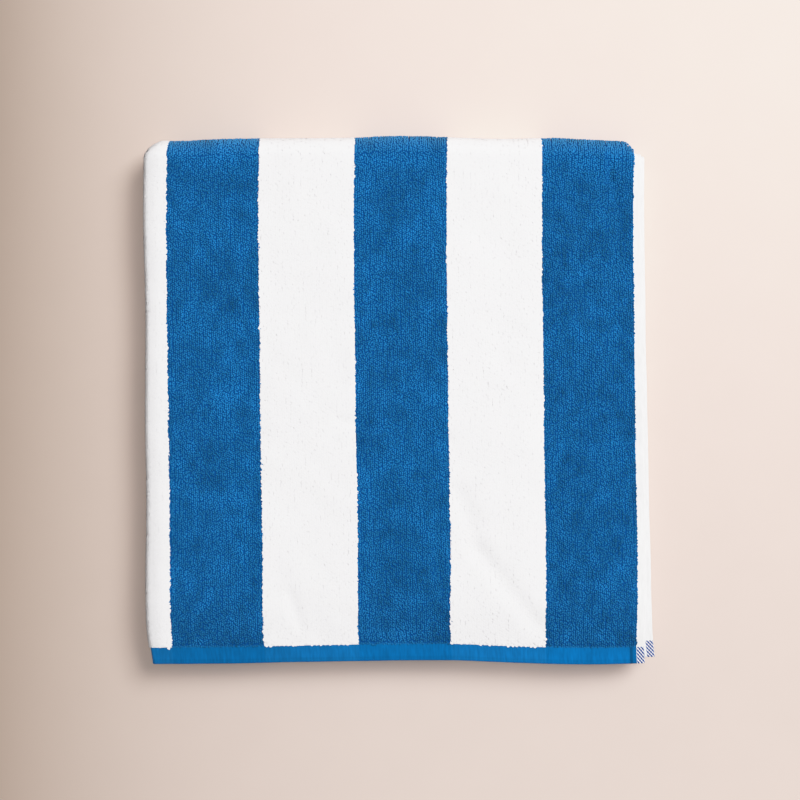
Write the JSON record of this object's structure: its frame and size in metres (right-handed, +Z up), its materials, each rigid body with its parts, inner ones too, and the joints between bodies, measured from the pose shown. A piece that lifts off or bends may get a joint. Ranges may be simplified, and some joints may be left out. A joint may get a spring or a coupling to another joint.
{
  "type": "folded beach towel",
  "caption": "Terry beach towel in wide blue and white stripes, folded flat with the side fold on the left and the hems in front.",
  "frame": {"origin": "under the middle of the folded towel, on the surface it lies on", "axes": "+Z up, +Y to the back where the outer crosswise fold is, +X to the right where the selvedges are"},
  "size_m": [0.4392, 0.4574, 0.0357],
  "materials": {
    "striped_terry": "matte cotton terry pile in wide blue and white stripes, with flat woven hems and selvedges"
  },
  "bodies": {
    "root": {"towel": "striped_terry"}
  },
  "joints": []
}
